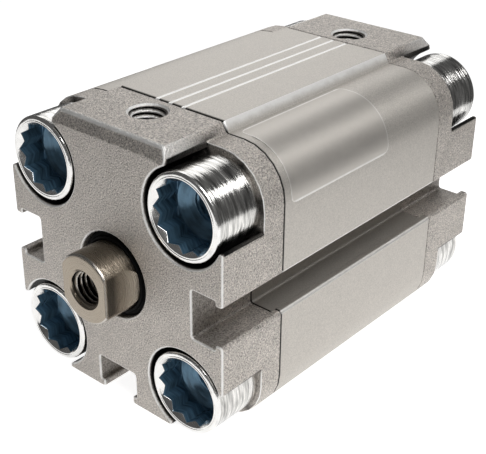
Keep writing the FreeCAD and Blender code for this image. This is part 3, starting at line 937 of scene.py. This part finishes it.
class CylinderCaps(bpy.types.PropertyGroup):
    edge: length("Edge", "Rounding of the cap's front edges", 0.27)
    pad_edge: length("Pad edge", "Rounding where the bevel meets the top of the pad", 0.55)
    shoulder: length("Shoulder", "Rounding of the pad's long edges", 0.45)
    joint_edge: length("Joint edge", "Rounding at the joint with the barrel", 0.2)
    rim_edge: length("Rim edge", "Rounding of the rim round the pocket floors", 0.15)
    crease: length("Crease", "Height of the crease under the pad's bevel", 19.45)
    slope: amount("Slope", "Set-back of the pad's bevel for its height", 0.706)
    crease_soft: length("Crease softness", "Half width of the crease", 0.05)
    port_mouth: length("Port mouth", "Radius of the port's countersink", 2.85)
    port_radius: length("Port radius", "Radius of the port's thread crests", 2.1)
    port_pitch: length("Port pitch", "Pitch of the port's thread", 0.8)


class CylinderBarrel(bpy.types.PropertyGroup):
    edge: length("Edge", "Rounding of the barrel's ends", 0.22)
    shoulder: length("Shoulder", "Rounding of the pad's long edges", 0.16)
    mark_width: length("Mark width", "Width of the fine marks on the pad", 0.6)
    mark_depth: length("Mark depth", "Depth of the fine marks on the pad", 0.08)


class CylinderLabel(bpy.types.PropertyGroup):
    front: length("Front", "Place of the foil's front edge along the cylinder", 12.9)
    rear: length("Rear", "Place of the foil's rear edge along the cylinder", 34.4)
    top: length("Top", "Distance of the foil's upper edge from the axis plane", 11.0)
    bottom: length("Bottom", "Height of the foil's lower edge on the side", 12.4)
    round_corner: length("Corner", "Radius of the foil's corners", 1.1)
    thickness: length("Thickness", "Thickness of the foil", 0.03)


class CylinderScrews(bpy.types.PropertyGroup):
    bevel: length("Bevel", "Rounding of the head's outer edge", 0.42)
    groove: length("Groove", "Depth of the turned line round the head", 0.012)
    tip: length("Star tip", "Radius of the star socket's points", 5.0)
    notch: length("Star notch", "Radius of the star socket's teeth", 4.5)
    ring: length("Ring", "Radius of the fine ring on the face", 5.36)
    sink: length("Countersink", "Radius of the countersink over the teeth", 5.16)
    socket_depth: length("Socket depth", "Place of the socket's floor along the cylinder", 4.0)
    pitch: length("Pitch", "Pitch of the mounting thread", 0.8)


class CylinderRod(bpy.types.PropertyGroup):
    edge: length("Edge", "Rounding of the rod's end", 0.42)
    mouth: length("Mouth", "Radius of the thread's countersink", 2.9)
    pitch: length("Pitch", "Pitch of the rod's thread", 0.8)


class CylinderStage(bpy.types.PropertyGroup):
    camera_place: FloatVectorProperty(
        name="Camera", description="Where the camera stands", unit="LENGTH",
        subtype="TRANSLATION", default=(0.09071, -0.07895, 0.07076), precision=5)
    azimuth: angle("Azimuth", "Direction that the camera looks in, from +Y towards -X", 40.654)
    elevation: angle("Elevation", "Height of the camera over the horizon", 27.997)
    roll: angle("Roll", "Turn of the camera about its own view", 0.576)
    lens: FloatProperty(name="Lens", description="Focal length on a 36 mm sensor",
                        default=76.88, unit="CAMERA")
    floor: colour("Floor", "Colour of the floor", (0.6, 0.6, 0.6))
    floor_reach: length("Floor reach", "Radius of the round floor", 140.0)
    floor_glow: amount("Floor glow", "Light that the floor gives off", 0.72)
    floor_lift: amount("Floor lift", "How much more the camera sees of it", 0.14)
    world: amount("World", "Strength of the surrounding light", 0.09)
    world_lift: amount("World lift", "How much more the camera sees of it", 0.95)
    key: amount("Key", "Power of the soft light behind the object on the left", 0.68)
    band: amount("Band", "Power of the small light behind the object on the right", 0.22)
    fill: amount("Fill", "Power of the soft light above on the right", 0.6)


class FINISH_OT_groups(bpy.types.Operator):
    """Make the node groups and the materials that the pieces share"""
    bl_idname = "cylinder.finishes"
    bl_label = "Finishes"

    def execute(self, context):
        s = context.scene.cylinder_finishes
        cast = cast_group()
        highlight_and_shade_group()
        turned_rings = turned_group()
        # A painted highlight colour for edges, with some scuffing, and a painted shade colour for
        # depths
        painted_light_and_wear = {"edge": (0.92, 0.91, 0.89), "hollow": (0.004, 0.004, 0.004)}
        finish_material("cast cap", s.cast, 0.85, s.cast_roughness, cast,
                        {"Grain size": 1.0, "Contrast": 1.3, "Pits": 0.8},
                        bump=0.8, bump_height=0.1, rough_share=0.1, edge_amount=1.2, **painted_light_and_wear)
        finish_material("anodised barrel", s.profile, 0.85, s.profile_roughness, cast,
                        {"Grain size": 0.9, "Contrast": 0.35, "Pits": 0.0},
                        bump=0.3, bump_height=0.03, rough_share=0.1, edge_amount=0.9, **painted_light_and_wear)
        finish_material("label foil", s.foil, 0.9, s.foil_roughness, cast,
                        {"Grain size": 5.0, "Contrast": 0.05, "Pits": 0.0},
                        bump=0.2, bump_height=0.03, rough_share=0.05, edge_amount=1.2, **painted_light_and_wear)
        finish_material("rod steel", s.rod, 1.0, s.rod_roughness, turned_rings,
                        {"Contrast": 0.45, "Lines per mm": 12.0},
                        bump=1.0, bump_height=0.04, rough_share=0.15, edge_amount=0.4, **painted_light_and_wear)
        finish_material("plated screw", s.steel, 1.0, s.steel_roughness, turned_rings,
                        {"Contrast": 2.6, "Lines per mm": 2.6, "Axis offset": SCREW * MM},
                        bump=0.9, bump_height=0.07, rough_share=0.3, edge_amount=0.8,
                        edge=painted_light_and_wear["edge"], hollow=s.socket_tint_and_shade, hollow_metallic=0.45)
        finish_material("black rubber", s.rubber, 0.0, 0.75, cast,
                        {"Grain size": 0.8, "Contrast": 0.4, "Pits": 0.0},
                        bump=0.2, bump_height=0.02, rough_share=0.15)
        finish_material("bumper rubber", s.bumper, 0.0, 0.6, cast,
                        {"Grain size": 1.2, "Contrast": 0.3, "Pits": 0.2},
                        bump=0.2, bump_height=0.02, rough_share=0.1)
        finish_material("bush bronze", s.bronze, 1.0, 0.35, turned_rings,
                        {"Contrast": 0.3, "Lines per mm": 5.0},
                        bump=0.3, bump_height=0.02, rough_share=0.15)
        finish_material("piston aluminium", s.profile, 0.9, 0.32, turned_rings,
                        {"Contrast": 0.25, "Lines per mm": 5.0},
                        bump=0.3, bump_height=0.02, rough_share=0.12)
        finish_material("bonded magnet", s.magnet, 0.2, 0.55, cast,
                        {"Grain size": 0.6, "Contrast": 0.6, "Pits": 0.3},
                        bump=0.3, bump_height=0.02, rough_share=0.15)
        finish_material("guide plastic", s.plastic, 0.0, 0.45, turned_rings,
                        {"Contrast": 0.1, "Lines per mm": 4.0},
                        bump=0.2, bump_height=0.01, rough_share=0.1)
        return {"FINISHED"}


def placed(skin, name, material, body, slot, *nodes):
    """Makes the piece, puts it on its body and has it stand in for its CAD nodes."""
    item = skin.object(name, bpy.data.materials[material])
    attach(item, body)
    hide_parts(*nodes)
    return item


class CAPS_OT_build(bpy.types.Operator):
    """Build the two cast caps"""
    bl_idname = "cylinder.caps"
    bl_label = "Caps"

    def execute(self, context):
        settings = context.scene.cylinder_caps
        placed(cap_skin(settings, True, 1.0), "front_cap_shell", "cast cap", "cylinder",
               "cast_cap", "front_cap")
        rear = cap_skin(settings, False, 0.3)
        rear.mirrored()
        placed(rear, "rear_cap_shell", "cast cap", "cylinder", "cast_cap", "rear_cap")
        return {"FINISHED"}


class BARREL_OT_build(bpy.types.Operator):
    """Build the extruded barrel"""
    bl_idname = "cylinder.barrel"
    bl_label = "Barrel"

    def execute(self, context):
        placed(barrel_skin(context.scene.cylinder_barrel), "barrel_shell", "anodised barrel",
               "cylinder", "anodised_barrel", "barrel")
        return {"FINISHED"}


class LABEL_OT_build(bpy.types.Operator):
    """Build the bare label foil on the barrel"""
    bl_idname = "cylinder.label"
    bl_label = "Label foil"

    def execute(self, context):
        item = label_skin(context.scene.cylinder_label).object(
            "label_foil", bpy.data.materials["label foil"])
        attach(item, "cylinder")
        return {"FINISHED"}


class SCREWS_OT_build(bpy.types.Operator):
    """Build the eight hollow cap screws"""
    bl_idname = "cylinder.screws"
    bl_label = "Screws"

    def execute(self, context):
        settings = context.scene.cylinder_screws
        for number, corner in enumerate(CORNERS, start=1):
            front = screw_skin(settings, corner, 1)
            placed(front, "front_screw_%d" % number, "plated screw", "cylinder", "zinc_steel",
                   "front_cap_screw_%d" % number)
            rear = screw_skin(settings, corner, -1)
            rear.mirrored()
            placed(rear, "rear_screw_%d" % number, "plated screw", "cylinder", "zinc_steel",
                   "rear_cap_screw_%d" % number)
        return {"FINISHED"}


class ROD_OT_build(bpy.types.Operator):
    """Build the piston rod and its seal"""
    bl_idname = "cylinder.rod"
    bl_label = "Rod and seal"

    def execute(self, context):
        placed(rod_skin(context.scene.cylinder_rod), "rod", "rod steel", "piston_and_rod",
               "rod_steel", "piston_rod")
        placed(seal_skin(), "wiper_seal", "black rubber", "cylinder", "black_rubber", "rod_seal")
        return {"FINISHED"}


class INSIDE_OT_finish(bpy.types.Operator):
    """Give the pieces inside the cylinder their finishes"""
    bl_idname = "cylinder.inside"
    bl_label = "Pieces inside"

    def execute(self, context):
        looks = {
            "rod_bush": "bush bronze", "front_cap_o_ring": "black rubber",
            "rear_cap_o_ring": "black rubber", "front_bumper": "bumper rubber",
            "rear_bumper": "bumper rubber", "piston_front_disc": "piston aluminium",
            "piston_rear_disc": "piston aluminium", "piston_front_seal": "black rubber",
            "piston_rear_seal": "black rubber", "magnet_ring": "bonded magnet",
            "guide_ring": "guide plastic", "piston_nut": "plated screw"}
        for name, look in looks.items():
            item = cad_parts[name]
            for slot in item.material_slots:
                slot.material = bpy.data.materials[look]
        return {"FINISHED"}


# Soft round lights: name, place and diameter in metres, and the setting with the power
LIGHTS = (("rear left", (-0.30, 0.36, 0.26), 0.42, "key"),
          ("rear right", (0.21, 0.33, 0.27), 0.12, "band"),
          ("above right", (0.16, -0.03, 0.25), 0.18, "fill"))
AIM = (0.0, 0.03, 0.0)


class STAGE_OT_build(bpy.types.Operator):
    """Build the floor, the lights and the camera"""
    bl_idname = "cylinder.stage"
    bl_label = "Stage"

    def execute(self, context):
        s = context.scene.cylinder_stage
        scene = context.scene
        scene.view_settings.view_transform = "Standard"
        mesh = bpy.data.meshes.new("floor")
        rim = circle(s.floor_reach, 128)
        mesh.from_pydata([(x, y, -SIDE * MM) for x, y in rim.tolist()], [], [range(len(rim))])
        floor = bpy.data.objects.new("floor", mesh)
        scene.collection.objects.link(floor)
        mesh.materials.append(self.floor_material(s))

        world = bpy.data.worlds.new("studio")
        world.use_nodes = True
        back = world.node_tree.nodes["Background"]
        back.inputs["Color"].default_value = (1.0, 1.0, 1.0, 1.0)
        seen = node(world.node_tree, "ShaderNodeLightPath", -600, 0)
        lifted = maths(world.node_tree, "MULTIPLY", seen.outputs["Is Camera Ray"], s.world_lift,
                       -400, 0)
        wire(world.node_tree, (maths(world.node_tree, "ADD", lifted, s.world, -200, 0),
                               back.inputs["Strength"]))
        scene.world = world

        for name, place, size, power in LIGHTS:
            self.light(scene, name, place, size, getattr(s, power))

        camera = bpy.data.cameras.new("camera")
        camera.sensor_width = 36.0
        camera.lens = s.lens
        camera.clip_start, camera.clip_end = 0.01, 20.0
        holder = bpy.data.objects.new("camera", camera)
        look = (Matrix.Rotation(s.azimuth, 3, "Z") @ Matrix.Rotation(math.pi / 2 - s.elevation, 3, "X")
                @ Matrix.Rotation(s.roll, 3, "Z"))
        holder.location = s.camera_place
        holder.rotation_euler = look.to_euler()
        scene.collection.objects.link(holder)
        scene.camera = holder
        return {"FINISHED"}

    def floor_material(self, s):
        """Pale floor, lit from within; the camera sees it lifted to the background's white."""
        paint = bpy.data.materials.new("floor")
        paint.use_nodes = True
        tree = paint.node_tree
        surface = tree.nodes["Principled BSDF"]
        surface.inputs["Base Color"].default_value = (*s.floor, 1)
        surface.inputs["Roughness"].default_value = 0.9
        surface.inputs["Specular IOR Level"].default_value = 0.0
        surface.inputs["Emission Color"].default_value = (1, 1, 1, 1)
        seen = node(tree, "ShaderNodeLightPath", -500, -300)
        lifted = maths(tree, "MULTIPLY", seen.outputs["Is Camera Ray"], s.floor_lift, -300, -300)
        glow = maths(tree, "ADD", lifted, s.floor_glow, -100, -300)
        wire(tree, (glow, surface.inputs["Emission Strength"]))
        return paint

    def light(self, scene, name, place, size, power):
        data = bpy.data.lights.new(name, "AREA")
        data.shape = "DISK"
        data.size = size
        data.energy = power
        item = bpy.data.objects.new(name, data)
        item.location = place
        aim = Vector(AIM) - Vector(place)
        item.rotation_euler = aim.to_track_quat("-Z", "Y").to_euler()
        scene.collection.objects.link(item)


class CYLINDER_PT_panel(bpy.types.Panel):
    """Settings and steps of the cylinder"""
    bl_idname = "CYLINDER_PT_panel"
    bl_label = "Pneumatic cylinder"
    bl_space_type = "VIEW_3D"
    bl_region_type = "UI"
    bl_category = "Cylinder"

    def draw(self, context):
        for name, _, operator in STEPS:
            box = self.layout.box()
            box.operator(operator.bl_idname)
            if name is not None:
                group = getattr(context.scene, name)
                for key in group.bl_rna.properties.keys():
                    if key not in {"rna_type", "name"}:
                        box.prop(group, key)


STEPS = (
    ("cylinder_finishes", CylinderFinishes, FINISH_OT_groups),
    ("cylinder_caps", CylinderCaps, CAPS_OT_build),
    ("cylinder_barrel", CylinderBarrel, BARREL_OT_build),
    ("cylinder_label", CylinderLabel, LABEL_OT_build),
    ("cylinder_screws", CylinderScrews, SCREWS_OT_build),
    ("cylinder_rod", CylinderRod, ROD_OT_build),
    (None, None, INSIDE_OT_finish),
    ("cylinder_stage", CylinderStage, STAGE_OT_build),
)


def register():
    for name, settings, operator in STEPS:
        if settings is not None:
            bpy.utils.register_class(settings)
            setattr(bpy.types.Scene, name, PointerProperty(type=settings))
        bpy.utils.register_class(operator)
    bpy.utils.register_class(CYLINDER_PT_panel)


def unregister():
    bpy.utils.unregister_class(CYLINDER_PT_panel)
    for name, settings, operator in reversed(STEPS):
        bpy.utils.unregister_class(operator)
        if settings is not None:
            delattr(bpy.types.Scene, name)
            bpy.utils.unregister_class(settings)


def main():
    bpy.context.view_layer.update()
    register()
    bpy.ops.cylinder.finishes()
    bpy.ops.cylinder.caps()
    bpy.ops.cylinder.barrel()
    bpy.ops.cylinder.label()
    bpy.ops.cylinder.screws()
    bpy.ops.cylinder.rod()
    bpy.ops.cylinder.inside()
    bpy.ops.cylinder.stage()


if __name__ == "__main__":
    main()
